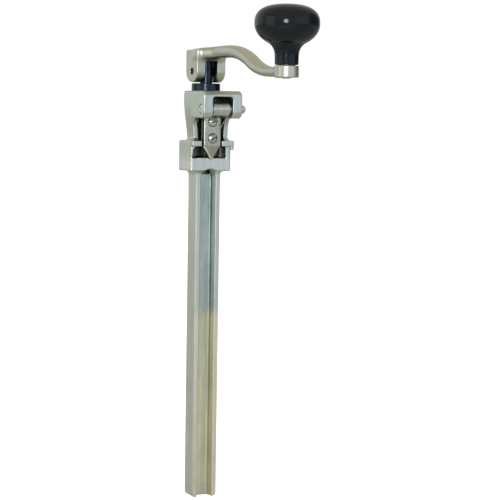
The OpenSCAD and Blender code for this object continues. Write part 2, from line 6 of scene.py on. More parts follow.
import bmesh
import bpy
import numpy as np
from mathutils import Matrix, Vector


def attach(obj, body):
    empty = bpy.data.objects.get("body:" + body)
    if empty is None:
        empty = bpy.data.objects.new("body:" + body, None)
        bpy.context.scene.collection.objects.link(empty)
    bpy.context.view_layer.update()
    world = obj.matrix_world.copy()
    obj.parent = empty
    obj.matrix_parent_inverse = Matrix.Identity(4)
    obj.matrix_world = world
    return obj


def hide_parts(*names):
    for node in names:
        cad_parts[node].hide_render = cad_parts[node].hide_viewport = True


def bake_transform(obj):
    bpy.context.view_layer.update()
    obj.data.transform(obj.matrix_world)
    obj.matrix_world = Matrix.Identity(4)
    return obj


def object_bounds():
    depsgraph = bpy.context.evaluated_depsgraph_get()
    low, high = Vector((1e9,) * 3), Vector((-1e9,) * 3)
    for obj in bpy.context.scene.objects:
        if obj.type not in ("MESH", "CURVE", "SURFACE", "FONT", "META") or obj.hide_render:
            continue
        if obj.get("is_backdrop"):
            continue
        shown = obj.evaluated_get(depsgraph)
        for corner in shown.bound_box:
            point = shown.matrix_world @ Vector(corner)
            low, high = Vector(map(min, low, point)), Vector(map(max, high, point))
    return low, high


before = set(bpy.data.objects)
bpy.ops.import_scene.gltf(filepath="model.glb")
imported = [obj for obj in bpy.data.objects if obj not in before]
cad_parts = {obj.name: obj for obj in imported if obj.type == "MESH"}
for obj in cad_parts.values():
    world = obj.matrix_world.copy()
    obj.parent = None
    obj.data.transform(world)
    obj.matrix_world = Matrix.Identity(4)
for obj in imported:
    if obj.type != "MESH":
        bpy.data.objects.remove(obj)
cad_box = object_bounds()

MM = 0.001
# In the shape code f is how far a point is in front of the arbor's axis
ARBOR_Y = -1.0
# The holder's pin: its place, and the radii of its bore and its thread
HINGE_F, HINGE_Z = 35.5, 388.0
HINGE_BORE, THREAD_R = 3.05, 2
# Across the casting: under the pin's head, under its nut, and its other end
HEAD_SEAT, NUT_SEAT, PIN_END = -17.9, 20.5, 23.9
# The crank: its pin's height, turn, length, and its boss
CLEVIS_Z = 424.8
CRANK_TURN = math.radians(9)
CRANK_R = 138.0
BOSS_H, BOSS_T = -1.4, 10.8
# The bar: half its width and depth; the groove: half its width, how far back
# its floor is, its walls' slope, and the centre of its round upper end
BAR_X, BAR_Y = 12.9, 10.2
GROOVE_X, GROOVE_Y, GROOVE_SLOPE, GROOVE_END = 6.8, -0.8, 0.138, 320.4
# Bores around the arbor's axis: the bushings, the gear's room, the screw's way
BUSH_R, GEAR_ROOM_R, ACCESS_R = 7.5, 13.6, 5.2
# Heights on the casting, from the bar's foot
WINDOW_LOW, WINDOW_TOP = 340.4, 351.2
LIP_TOP, LUG_LOW, HEAD_TOP = 357, 379, 405.7
# The slot between the lugs: half its width, and where its back is
SLOT_HALF, SLOT_BACK = 10.6, 9.2
# The knife: half its width, its back and front faces, and its point
KNIFE_HALF, KNIFE_BACK, KNIFE_FRONT = 9.25, 13.4, 18.6
POINT_TOP, POINT_LOW = 351.2, 337.4
# Each knife screw's height, and the angle of its slot in degrees
SCREWS = ((375.6, 25), (359.3, 45))
SCREW_HOLE, SEAT_F = 2.12, 17.6


# ------------------------------------------------------------ distance fields


def length(*parts):
    return np.sqrt(sum(p * p for p in parts))


def above(a, limit=0):
    return np.maximum(a, limit)


def smooth(t):
    t = np.clip(t, 0, 1)
    return t * t * (3 - 2 * t)


def union(a, b, r):
    return above(np.minimum(a, b), r) - length(above(r - a), above(r - b))


def common(a, b, r):
    return np.minimum(np.maximum(a, b), -r) + length(above(r + a), above(r + b))


def cut(a, b, r):
    return common(a, -b, r)


def rect(x, y, hx, hy, r=0.0):
    qx, qy = abs(x) - hx + r, abs(y) - hy + r
    return length(above(qx), above(qy)) + np.minimum(np.maximum(qx, qy), 0) - r


def between(t, t0, t1):
    return abs(t - (t0 + t1) / 2) - (t1 - t0) / 2


def slab(outline, t, t0, t1, r):
    """The outline's prism from t0 to t1, with its edges rounded by r."""
    a, b = outline + r, between(t, t0, t1) + r
    return length(above(a), above(b)) + np.minimum(np.maximum(a, b), 0) - r


def box2(x, y, x0, x1, y0, y1, radii=(0, 0, 0, 0)):
    """Rectangle with its own radius at each corner: low left, low right, high
    left, high right."""
    cx, cy = (x0 + x1) / 2, (y0 + y1) / 2
    low = np.where(x > cx, radii[1], radii[0])
    high = np.where(x > cx, radii[3], radii[2])
    r = np.where(y > cy, high, low)
    qx = abs(x - cx) - (x1 - x0) / 2 + r
    qy = abs(y - cy) - (y1 - y0) / 2 + r
    return length(above(qx), above(qy)) + np.minimum(np.maximum(qx, qy), 0) - r


def beyond(x, y, x0, y0, x1, y1):
    """Distance to the left of the line from point 0 to point 1."""
    n = math.hypot(x1 - x0, y1 - y0)
    return ((y - y0) * (x1 - x0) - (x - x0) * (y1 - y0)) / n


# ------------------------------------------------------------ meshing a field


def field_values(field, xs, ys, zs):
    out = np.empty((len(xs), len(ys), len(zs)), np.float32)
    x = xs.astype(np.float32)[:, None, None]
    y = ys.astype(np.float32)[None, :, None]
    step = 12

    def work(k):
        z = zs[k : k + step].astype(np.float32)[None, None, :]
        out[:, :, k : k + step] = field(x, y, z)

    with ThreadPoolExecutor(4) as pool:
        list(pool.map(work, range(0, len(zs), step)))
    return out


def surface_net(field, xs, ys, zs):
    """Vertices and quads of the surface where the field is zero."""
    v = field_values(field, xs, ys, zs)
    inside = v < 0
    n = [len(xs) - 1, len(ys) - 1, len(zs) - 1]
    count = np.zeros(n, np.int8)
    for a in (0, 1):
        for b in (0, 1):
            for c in (0, 1):
                count += inside[a : a + n[0], b : b + n[1], c : c + n[2]]
    cells = np.argwhere((count > 0) & (count < 8))
    index = np.full(n, -1, np.int32)
    index[tuple(cells.T)] = np.arange(len(cells))
    axes = (xs, ys, zs)
    total = np.zeros((len(cells), 3))
    hits = np.zeros(len(cells))
    for axis in range(3):
        for a in (0, 1):
            for b in (0, 1):
                start = np.insert(np.array([a, b]), axis, 0)
                p0 = cells + start
                p1 = p0.copy()
                p1[:, axis] += 1
                v0, v1 = v[tuple(p0.T)], v[tuple(p1.T)]
                crossing = (v0 < 0) != (v1 < 0)
                t = np.where(crossing, v0 / np.where(crossing, v0 - v1, 1), 0)
                for d in range(3):
                    c0, c1 = axes[d][p0[:, d]], axes[d][p1[:, d]]
                    total[:, d] += np.where(crossing, c0 + t * (c1 - c0), 0)
                hits += crossing
    points = total / hits[:, None]
    quads = []
    for axis in range(3):
        u, w = (axis + 1) % 3, (axis + 2) % 3
        low = [slice(1, -1)] * 3
        low[axis] = slice(0, -1)
        high = list(low)
        high[axis] = slice(1, None)
        a, b = inside[tuple(low)], inside[tuple(high)]
        edge = np.argwhere(a != b)
        leaving = a[tuple(edge.T)]
        offset = np.ones(3, int)
        offset[axis] = 0
        base = edge + offset
        ring = []
        for du, dw in ((-1, -1), (0, -1), (0, 0), (-1, 0)):
            cell = base.copy()
            cell[:, u] += du
            cell[:, w] += dw
            ring.append(index[tuple(cell.T)])
        q = np.stack(ring, 1)
        q[~leaving] = q[~leaving][:, ::-1]
        quads.append(q)
    return points, np.concatenate(quads)


def gradient(field, p, h=0.03):
    g = np.empty_like(p)
    for d in range(3):
        step = np.zeros(3)
        step[d] = h
        g[:, d] = (field(*(p + step).T) - field(*(p - step).T)) / (2 * h)
    return g


def settle(field, p):
    """Moves the points onto the surface."""
    for _ in range(3):
        g = gradient(field, p)
        g2 = above((g * g).sum(1), 0.05)
        move = -(field(*p.T) / g2)[:, None] * g
        p = p + np.clip(move, -0.4, 0.4)
    return p


def lines(*stops):
    """Grid lines: start, then pairs of (step, next stop)."""
    out = [stops[0]]
    for step, stop in zip(stops[1::2], stops[2::2], strict=True):
        n = max(1, round((stop - out[-1]) / step))
        out.extend(np.linspace(out[-1], stop, n + 1)[1:])
    return np.array(out)


# ---------------------------------------------------------------- the pieces


def make_mesh(name, points, faces):
    me = bpy.data.meshes.new(name)
    me.from_pydata((np.asarray(points) * MM).tolist(), [], [list(f) for f in faces])
    me.validate()
    me.polygons.foreach_set("use_smooth", [True] * len(me.polygons))
    ob = bpy.data.objects.new(name, me)
    bpy.context.scene.collection.objects.link(ob)
    return ob


def vertex_array(me):
    co = np.empty(len(me.vertices) * 3)
    me.vertices.foreach_get("co", co)
    return co.reshape(-1, 3)


def place(ob, body, slot, *nodes):
    ob.data.materials.clear()
    ob.data.materials.append(MATERIALS[slot])
    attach(ob, body)
    if nodes:
        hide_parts(*nodes)
    return ob


def openness(field, p, normals):
    """How much of the space outside each point is free, from 0 to 1."""
    helper = np.where(abs(normals[:, 2:]) < 0.8, [[0, 0, 1.0]], [[1.0, 0, 0]])
    side = np.cross(normals, helper)
    side /= length(*side.T)[:, None]
    third = np.cross(normals, side)
    total = 0
    for u, w in ((0, 0), (1, 0), (-1, 0), (0, 1), (0, -1)):
        d = normals + 0.9 * (u * side + w * third)
        d /= length(*d.T)[:, None]
        lean = (d * normals).sum(1)
        for h in (3, 9, 20):
            total = total + np.clip(field(*(p + d * h).T) / (h * lean), 0, 1)
    return total / 15


def store_shade(ob, free, edge):
    for key, value in (("open", free), ("edge", edge)):
        a = ob.data.attributes.new(key, "FLOAT", "POINT")
        values = np.broadcast_to(np.float32(value), (len(ob.data.vertices),))
        a.data.foreach_set("value", np.ascontiguousarray(values))


def add_shade(ob, field, p, normals, hull, depth):
    """Stores how open and how sharp the surface is at each vertex. What lies
    deeper than this inside the hull, in an opening cut into it, is closed."""
    h = 0.5
    around = sum(field(*(p + s * h * e).T) for s in (-1, 1) for e in np.eye(3))
    free = openness(field, p, normals)
    if hull:
        free = free * (1 - 0.9 * smooth(-hull(*p.T) / depth - 0.16))
    store_shade(ob, free, np.clip(around / (h * h) / 1.6, -1, 1))


def field_piece(name, field, grid, hull=None, depth=5):
    """Meshes a field, merges its flat parts, and takes normals from the field."""
    points, quads = surface_net(field, *grid)
    points = settle(field, points)
    ob = make_mesh(name, points, quads)
    thin = ob.modifiers.new("thin", "DECIMATE")
    thin.decimate_type = "DISSOLVE"
    thin.angle_limit = math.radians(0.35)
    bpy.context.view_layer.update()
    graph = bpy.context.evaluated_depsgraph_get()
    me = bpy.data.meshes.new_from_object(ob.evaluated_get(graph))
    ob.modifiers.clear()
    old, ob.data = ob.data, me
    bpy.data.meshes.remove(old)
    me.name = name
    p = vertex_array(me) / MM
    g = gradient(field, p)
    normals = g / above(length(*g.T), 1e-6)[:, None]
    me.polygons.foreach_set("use_smooth", [True] * len(me.polygons))
    me.update()
    me.normals_split_custom_set_from_vertices(normals.tolist())
    add_shade(ob, field, p, normals, hull, depth)
    me.calc_loop_triangles()
    print("MESH", name, len(points), len(me.vertices), len(me.loop_triangles))
    return ob


def rounded(points, radii, steps=7):
    """A path of points with its corners rounded, and a point just before and
    after each corner that keeps the straight parts flat when smooth shaded."""
    out = [points[0]]
    for i in range(1, len(points) - 1):
        p = np.array(points[i], float)
        a = np.array(points[i - 1], float) - p
        b = np.array(points[i + 1], float) - p
        la, lb = np.linalg.norm(a), np.linalg.norm(b)
        a, b = a / la, b / lb
        half = math.acos(np.clip(a @ b, -1, 1)) / 2
        r = radii[i - 1]
        back = r / math.tan(half)
        centre = p + (a + b) / np.linalg.norm(a + b) * r / math.sin(half)
        start, end = p + a * back, p + b * back
        out.append(tuple(start + a * min(0.12, (la - back) / 3)))
        for k in range(steps + 1):
            w = k / steps
            d = (start - centre) * (1 - w) + (end - centre) * w
            out.append(tuple(centre + d / np.linalg.norm(d) * r))
        out.append(tuple(end + b * min(0.12, (lb - back) / 3)))
    out.append(points[-1])
    return out


def ring_outline(r0, r1, low, high, radii):
    """A ring's section, begun half way up its bore."""
    middle = (r0, (low + high) / 2)
    corners = [(r0, low), (r1, low), (r1, high), (r0, high)]
    return rounded([middle, *corners, middle], radii)


def lathe(name, outline, axis, origin, sides=128):
    """Turns an outline of (radius, height) about an axis through origin."""
    axis = np.array(axis, float) / np.linalg.norm(axis)
    side = np.cross(axis, [0, 0, 1.0] if abs(axis[2]) < 0.9 else [0, 1.0, 0])
    side /= np.linalg.norm(side)
    third = np.cross(axis, side)
    closed = outline[0][0] > 0 and outline[0] == outline[-1]
    if closed:
        outline = outline[:-1]
    points, rings = [], []
    for r, h in outline:
        centre = np.array(origin, float) + axis * h
        if r < 1e-6:
            rings.append([len(points)])
            points.append(centre)
            continue
        ring = []
        for k in range(sides):
            a = 2 * math.pi * k / sides
            ring.append(len(points))
            points.append(centre + r * (math.cos(a) * side + math.sin(a) * third))
        rings.append(ring)
    faces = []
    pairs = list(zip(rings, rings[1:]))
    if closed:
        pairs.append((rings[-1], rings[0]))
    for a, b in pairs:
        for k in range(sides):
            m = (k + 1) % sides
            if len(a) == 1:
                faces.append((a[0], b[m], b[k]))
            elif len(b) == 1:
                faces.append((a[k], a[m], b[0]))
            else:
                faces.append((a[k], a[m], b[m], b[k]))
    ob = make_mesh(name, points, faces)
    fix_normals(ob)
    return ob


def fix_normals(ob, weld=False):
    """Turns the faces outward, and marks the surface as open and even."""
    bm = bmesh.new()
    bm.from_mesh(ob.data)
    if weld:
        bmesh.ops.remove_doubles(bm, verts=bm.verts, dist=1e-7)
    bmesh.ops.recalc_face_normals(bm, faces=bm.faces)
    bm.to_mesh(ob.data)
    bm.free()
    if "open" not in ob.data.attributes:
        store_shade(ob, 1, 0)


# ---------------------------------------------------------------- materials


def node_tree(name):
    mat = bpy.data.materials.new(name)
    mat.use_nodes = True
    tree = mat.node_tree
    coords = tree.nodes.new("ShaderNodeTexCoord").outputs["Object"]
    return mat, tree, coords, tree.nodes["Principled BSDF"]


def set_inputs(tree, node, inputs):
    """Sets each input to a value, or links it to a socket."""
    for key, value in inputs.items():
        if isinstance(value, bpy.types.NodeSocket):
            tree.links.new(value, node.inputs[key])
        else:
            node.inputs[key].default_value = value


def add(tree, kind, inputs=None, **settings):
    node = tree.nodes.new(kind)
    for key, value in settings.items():
        setattr(node, key, value)
    set_inputs(tree, node, inputs or {})
    return node


def noise(tree, coords, scale, detail, rough=0.55):
    inputs = {"Vector": coords, "Scale": scale, "Detail": detail, "Roughness": rough}
    return add(tree, "ShaderNodeTexNoise", inputs).outputs["Fac"]


def ramp(tree, fac, low, high, a, b, kind="LINEAR"):
    """Maps fac between low and high to the numbers a and b."""
    inputs = {"Value": fac, "From Min": low, "From Max": high, "To Min": a, "To Max": b}
    node = add(tree, "ShaderNodeMapRange", inputs, interpolation_type=kind)
    return node.outputs["Result"]


def mix(tree, fac, a, b, kind="MIX"):
    """Mixes two colours, which are the node's inputs 6 and 7."""
    a, b = ((*c, 1) if isinstance(c, tuple) else c for c in (a, b))
    node = add(tree, "ShaderNodeMix", data_type="RGBA", blend_type=kind)
    set_inputs(tree, node, {0: fac, 6: a, 7: b})
    return node.outputs[2]


def math_node(tree, kind, a, b):
    return add(tree, "ShaderNodeMath", {0: a, 1: b}, operation=kind).outputs[0]


def stretched(tree, coords, scale):
    inputs = {"Vector": coords, "Scale": scale}
    return add(tree, "ShaderNodeMapping", inputs).outputs["Vector"]


def bump(tree, height, strength, distance, under=None):
    """A bumped normal, on top of another one if it is given."""
    inputs = {"Height": height, "Strength": strength, "Distance": distance}
    if under is not None:
        inputs["Normal"] = under
    return add(tree, "ShaderNodeBump", inputs).outputs["Normal"]


def position(tree, coords):
    """The x, y and z outputs of a vector."""
    return add(tree, "ShaderNodeSeparateXYZ", {0: coords}).outputs


def facing(tree, axis, low, high):
    """From 0 to 1 as the surface turns to the minus side of the object's axis."""
    normal = add(tree, "ShaderNodeTexCoord").outputs["Normal"]
    return ramp(tree, position(tree, normal)[axis], -low, -high, 0, 1)


def tinted(colour, *factors):
    return tuple(k * c for k, c in zip(factors, colour, strict=True))


def casting_tones_and_painted_light(tree, coords, open_, colour, left_shade):
    """Tints of the casting: a painted warm reflection towards the bar's lower end,
    a darker, bluer tone on the head, and painted shade on the head: on its left,
    its top, and all round its cheeks behind the lip."""
    x, _, z = position(tree, coords)
    # painted warm reflection towards the bar's lower end, more orange in its hollows
    drift = math_node(tree, "MULTIPLY", noise(tree, coords, 22, 3), 0.012)
    low = ramp(tree, math_node(tree, "ADD", z, drift), 0.186, 0.2, 1, 0)
    # not on the bar's left side
    inner = ramp(tree, x, -0.0125, -0.0119, 0, 1)
    tan = mix(tree, ramp(tree, open_, 0.5, 0.8, 0, 1), (1.3, 1.11, 0.8), (1.32, 1.2, 1.04))
    colour = mix(tree, math_node(tree, "MULTIPLY", low, inner), colour,
                 mix(tree, 1.0, colour, tan, "MULTIPLY"))
    head = ramp(tree, z, 0.334, 0.348, 0, 1)
    colour = mix(tree, head, colour, (0.58, 0.62, 0.61))
    # painted shade on the band along the head's rounded top edge
    top = ramp(tree, z, (HEAD_TOP - 4.7) * MM, (HEAD_TOP - 1.7) * MM, 0, 1)
    colour = mix(tree, top, colour, (0.47, 0.5, 0.46))
    # painted shade on the head's sides turned left
    left = math_node(tree, "MULTIPLY", head, facing(tree, "X", 0.5, 0.8))
    colour = mix(tree, left, colour, left_shade)
    # painted shade on the cheeks between the lip and the overhanging lugs
    over = ramp(tree, z, LIP_TOP * MM, (LIP_TOP + 3) * MM, 0, 1)
    under = ramp(tree, z, (LUG_LOW - 4) * MM, LUG_LOW * MM, 1, 0)
    cheeks = math_node(tree, "MULTIPLY", over, under)
    return mix(tree, cheeks, colour, (0.47, 0.5, 0.47))


def metal(name, light, dark, rough, grain, brush=None, shaded=False, wave=0.0,
          tones_and_painted_light=False, left_shade=None, painted_point_top=None):
    """A metal whose tint, gloss and surface vary: light and dark tints, a range
    of roughness, cast or sanded grain, and optional brush marks. Shaded metals
    get painted shade: darker and bluer in their hollows, and near black where
    the surface is closed in. With tones and painted light the casting gets its
    tints, a painted warm reflection and painted shade; left shade is the painted
    shade on sides turned left; and painted point top is the height where the
    knife's point begins, below which its front gets painted shade and its
    bevels get painted highlights."""
    mat, tree, coords, shader = node_tree(name)
    broad = noise(tree, coords, 38, 4)
    colour = mix(tree, ramp(tree, broad, 0.3, 0.7, 0, 1), dark, light)
    gloss = ramp(tree, noise(tree, coords, 120, 4), 0.3, 0.72, *rough)
    if shaded:
        open_ = add(tree, "ShaderNodeAttribute", attribute_name="open").outputs["Fac"]
        # painted shade: where the surface is less open it turns darker and bluer, in soft
        # clouds
        clouds = noise(tree, stretched(tree, coords, (110, 110, 34)), 1.0, 3)
        cool = mix(tree, ramp(tree, clouds, 0.4, 0.62, 0, 1),
                   tinted(dark, 0.72, 0.86, 0.91), tinted(dark, 0.99, 1.13, 1.17))
        colour = mix(tree, ramp(tree, open_, 0.45, 0.8, 1, 0), colour, cool)
    if tones_and_painted_light:
        colour = casting_tones_and_painted_light(tree, coords, open_, colour, left_shade)
    # painted shade on sides turned left
    elif left_shade:
        colour = mix(tree, facing(tree, "X", 0.5, 0.8), colour, left_shade)
    if shaded:
        # painted shade: near black where the surface is closed in
        closed_shade = tinted(dark, 0.05, 0.048, 0.045)
        colour = mix(tree, ramp(tree, open_, 0.15, 0.6, 1, 0), colour, closed_shade)
        edge = add(tree, "ShaderNodeAttribute", attribute_name="edge").outputs["Fac"]
        worn = math_node(tree, "MULTIPLY", ramp(tree, edge, 0.3, 0.9, 0, 0.5), broad)
        colour = mix(tree, worn, colour, tinted(light, 1.1, 1.1, 1.1))
    if painted_point_top:
        # painted shade on the ground point's front, which is browner, and painted
        # highlights on its bevels
        z = position(tree, coords)["Z"]
        spot = ramp(tree, z, painted_point_top - 0.0006, painted_point_top, 1, 0)
        point = mix(tree, facing(tree, "Y", 0.88, 0.97), (0.98, 0.95, 0.8),
                    (0.42, 0.4, 0.3))
        colour = mix(tree, spot, colour, point)
    relief = noise(tree, coords, 900, 3, 0.6)
    if brush:
        marks = noise(tree, stretched(tree, coords, brush), 1.0, 3, 0.6)
        colour = mix(tree, ramp(tree, marks, 0.4, 0.68, 0, 0.5), colour,
                     tinted(dark, 0.7, 0.7, 0.7))
        gloss = math_node(tree, "ADD", gloss, ramp(tree, marks, 0.3, 0.7, -0.05, 0.06))
        relief = math_node(tree, "ADD", math_node(tree, "MULTIPLY", marks, 1.6), relief)
    normal = bump(tree, relief, grain, 0.00008)
    if wave:
        normal = bump(tree, noise(tree, coords, 60, 2), wave, 0.0005, normal)
    set_inputs(tree, shader, {"Base Color": colour, "Roughness": gloss,
                              "Normal": normal, "Metallic": 1.0})
    return mat


def phenolic(name):
    """Glossy black moulded plastic with faint swirls, dust and rub marks."""
    mat, tree, coords, shader = node_tree(name)
    colour = mix(tree, ramp(tree, noise(tree, coords, 60, 4), 0.3, 0.7, 0, 1),
                 (0.005, 0.008, 0.012), (0.01, 0.014, 0.02))
    dust = ramp(tree, noise(tree, coords, 2600, 1), 0.72, 0.8, 0, 0.25)
    colour = mix(tree, dust, colour, (0.08, 0.08, 0.085))
    gloss = ramp(tree, noise(tree, coords, 170, 5), 0.35, 0.75, 0.07, 0.2)
    normal = bump(tree, noise(tree, coords, 1400, 2), 0.12, 0.00005)
    set_inputs(tree, shader, {"Base Color": colour, "Roughness": gloss,
                              "Normal": normal, "Specular IOR Level": 0.22})
    return mat


MATERIALS = {
    "nickel_casting": metal("nickel_casting", (0.72, 0.74, 0.72), (0.64, 0.66, 0.63),
                            (0.3, 0.4), 0.12, brush=(460, 460, 5), shaded=True,
                            wave=0.04, tones_and_painted_light=True, left_shade=(0.47, 0.5, 0.46)),
    "nickel_crank": metal("nickel_crank", (0.6, 0.58, 0.52), (0.53, 0.52, 0.46),
                          (0.32, 0.42), 0.12, shaded=True, wave=0.05,
                          left_shade=(0.5, 0.49, 0.45)),
    "black_oxide": metal("black_oxide", (0.035, 0.045, 0.06), (0.018, 0.022, 0.03),
                         (0.16, 0.28), 0.15, brush=(60, 60, 2600)),
    "gear_steel": metal("gear_steel", (0.12, 0.12, 0.12), (0.05, 0.05, 0.05),
                        (0.25, 0.45), 0.3),
    "knife_steel": metal("knife_steel", (0.49, 0.485, 0.42), (0.37, 0.365, 0.315),
                         (0.2, 0.3), 0.2, brush=(700, 60, 30), shaded=True,
                         left_shade=(0.25, 0.25, 0.22), painted_point_top=(POINT_TOP + 0.6) * MM),
    "bright_steel": metal("bright_steel", (0.62, 0.62, 0.6), (0.46, 0.46, 0.45),
                          (0.14, 0.26), 0.15, shaded=True),
    "spring_wire": metal("spring_wire", (0.6, 0.6, 0.6), (0.42, 0.42, 0.41),
                         (0.2, 0.32), 0.2),
    "bronze": metal("bronze", (0.5, 0.33, 0.16), (0.36, 0.24, 0.12), (0.3, 0.45), 0.3),
    "black_phenolic": phenolic("black_phenolic"),
}

# The carried-over nodes take the same finishes as the new pieces
CARRIED = {
    "upper_arbor_bushing": "bronze",
    "lower_arbor_bushing": "bronze",
    "knob_sleeve": "bronze",
    "drive_gear": "gear_steel",
    "gear_washer": "bright_steel",
    "gear_screw": "bright_steel",
    "knob_retaining_ring": "spring_wire",
    "collar_pin": "black_oxide",
}
for node_name, finish in CARRIED.items():
    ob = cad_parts[node_name]
    ob.data.materials.clear()
    ob.data.materials.append(MATERIALS[finish])


# ---------------------------------------------------------------- the casting


def hinge_radius(y, z):
    """Distance from the axis of the holder's pin."""
    return length(ARBOR_Y - y - HINGE_F, z - HINGE_Z)


def head_plan(x, f, z):
    """Outside of the head in plan: flat cheeks and a round back. It widens
    gently from the lip to the top, and at once under the two lugs."""
    t = np.maximum(smooth((z - 352) / 46),
                   smooth((f - 4) / 8) * smooth((z - 376.5) / 4))
    half = 18.1 + 2.4 * t
    shift = 2.5 * t
    x = x - 0.7 * (1 - t)
    return np.where(f < -shift, length(x, f + shift), abs(x)) - half


def head_hull(x, y, z):
    """The shoulder, lip and head before anything is cut into them."""
    f = ARBOR_Y - y
    shoulder = slab(rect(x, f + 0.9, 21.4, 15.7, 1.7), z, 327, LIP_TOP, 1.3)
    lip = box2(x, z, -20.8, 23.8, WINDOW_TOP, LIP_TOP, (1.2,) * 4)
    lip = slab(lip, f, 4, 17.2, 1.0)
    hook = slab(box2(x, z, 20.4, 23.8, 348, 356.8, (1.2,) * 4), f, 13, 17.2, 1.0)
    lip = union(lip, hook, 0.8)
    cheeks = box2(f, z, -60, 12.3, 340, 390)
    lugs = box2(f, z, -60, 43, LUG_LOW, HEAD_TOP, (0, 6.5, 0, 5))
    profile = union(cheeks, lugs, 7.5)
    # its edges get rounder at the top, and its back ends on the shoulder
    edge_r = 1.2 + 1.0 * smooth((z - 398) / 5)
    head = common(head_plan(x, f, z), profile, edge_r)
    head = common(head, 350 - z, 1.2)
    return np.minimum(
        union(shoulder, lip, 0.9),
        np.minimum(union(head, lip, 4.2), union(head, shoulder, 2.2)),
    )


def casting(x, y, z):
    f = ARBOR_Y - y
    shank = slab(rect(x, z - 180, BAR_X, 180, 4), y, -BAR_Y, BAR_Y, 0.8)
    body = union(shank, head_hull(x, y, z), 4)

    # the groove, with sloping walls and a round upper end
    rho = length(x, above(z - GROOVE_END))
    wall = rho - GROOVE_X - above(GROOVE_Y - y) * GROOVE_SLOPE
    body = cut(body, common(wall, y - GROOVE_Y, 1.6), 0.8)

    # the gear window and its chamber
    axis_r = length(x, f)
    window = box2(x, z, -19.2, 15.8, WINDOW_LOW, WINDOW_TOP, (0.8, 0.8, 5.5, 1.5))
    window = slab(window, f, 4.8, 40, 0.8)
    chamber = np.maximum(axis_r - GEAR_ROOM_R, between(z, WINDOW_LOW, WINDOW_TOP))
    window = union(window, chamber, 0.8)
    # the sill's front edge is rounder than the window's other edges
    front_r = 0.5 + 1.7 * smooth((343.2 - z) / 2) * smooth((f - 9) / 2)
    body = cut(body, window, front_r)

    # the space between the cheeks, and the slot between the lugs
    inner = common(head_plan(x, f, z) + 4.7, between(z, LIP_TOP, LUG_LOW), 1.5)
    body = cut(body, inner, 0.6)
    slot = box2(x, z, -SLOT_HALF, SLOT_HALF, 350, 400, (0, 0, 3, 3))
    body = cut(body, slab(slot, f, SLOT_BACK, 80, 0.6), 0.8)

    # bores for the bushings, the gear screw and the holder's pin
    body = np.maximum(body, -np.maximum(axis_r - BUSH_R, 350 - z))
    access = np.maximum(axis_r - ACCESS_R, between(z, 323.7, 342))
    body = cut(body, access, 0.3)
    pin_r = hinge_radius(y, z)
    body = np.maximum(body, HINGE_BORE - pin_r)
    recess = np.maximum(pin_r - 4.65, x - HEAD_SEAT)
    return cut(body, recess, 0.45)


def build_casting():
    xs = lines(-24.6, 0.42, 24.6)
    ys = lines(-45.6, 0.42, 22.4)
    zs = lines(-0.6, 0.42, 6, 5.3, 317, 0.42, 407)
    ob = field_piece("opener_casting", casting, (xs, ys, zs), head_hull)
    place(ob, "frame", "nickel_casting", "body_casting")


# ------------------------------------------------------------------ the crank

# The arm's middle line: its peak, the run of its two bends, and how gently it
# rises to the peak
PEAK_Q, PEAK_H, BEND_RUN, RISE_R = 43.5, 18.9, 73.0, 380.0
BEND = 2 * math.atan((PEAK_H - BOSS_H) / BEND_RUN)
FIRST_R = 0.53 * BEND_RUN / math.sin(BEND)
SECOND_R = 0.47 * BEND_RUN / math.sin(BEND)
LEVEL_Q = PEAK_Q + BEND_RUN
# Half the clevis's width, its ears' radius and their middle, and half its gap
CLEVIS_W, EAR_R, EAR_Q, GAP_W = 16.5, 10.7, -0.7, 7
BOSS_R = 11.5


def crank_frame(x, y, z):
    """Across, along the arm from the arbor, and height above the clevis pin."""
    c, s = math.cos(CRANK_TURN), math.sin(CRANK_TURN)
    dy = y - ARBOR_Y
    return c * x + s * dy, s * x - c * dy, z - CLEVIS_Z


def from_crank(w, q, h):
    c, s = math.cos(CRANK_TURN), math.sin(CRANK_TURN)
    return (c * w + s * q, ARBOR_Y + s * w - c * q, CLEVIS_Z + h)


def arm_height(q, h):
    """Signed distance above the arm's middle line: a gentle rise, a bend down,
    a bend back and a level end."""
    rise = length(q - PEAK_Q, h - PEAK_H + RISE_R) - RISE_R
    first = length(q - PEAK_Q, h - PEAK_H + FIRST_R) - FIRST_R
    second = SECOND_R - length(q - LEVEL_Q, h - BOSS_H - SECOND_R)
    level = h - BOSS_H
    jq = PEAK_Q + FIRST_R * math.sin(BEND)
    jh = PEAK_H - FIRST_R * (1 - math.cos(BEND))
    past = (q - jq) * math.cos(BEND) - (h - jh) * math.sin(BEND)
    d = np.where(q < PEAK_Q, rise, first)
    d = np.where((past > 0) & (q >= PEAK_Q), second, d)
    return np.where(q > LEVEL_Q, level, d)


def crank_hull(x, y, z):
    """The arm, clevis and boss before anything is cut into them."""
    w, q, h = crank_frame(x, y, z)
    up = arm_height(q, h)
    # the arm's section is a soft rectangle that gets lower along the bend
    half_w = 7 + 6.5 * smooth((27 - q) / 20)
    half_h = 6 - 1.3 * smooth((q - LEVEL_Q + BEND_RUN / 2) / (BEND_RUN / 2))
    power = 2.7
    k = ((abs(w) / half_w) ** power + (abs(up) / half_h) ** power) ** (1 / power)
    arm = (k - 1) * half_h
    arm = np.maximum(arm, between(q, 4, CRANK_R))
    ear = np.where(h < 0, length(q - EAR_Q, h), abs(q - EAR_Q)) - EAR_R
    ear = common(ear, h - 21.2, np.where(q < 0, 2.5, 0.8))
    clevis = slab(ear, w, -CLEVIS_W, CLEVIS_W, 0.9)
    body = union(clevis, arm, 4)
    half = BOSS_T / 2
    boss = slab(length(w, q - CRANK_R) - BOSS_R, h, BOSS_H - half, BOSS_H + half, 0.8)
    return union(body, boss, 3)


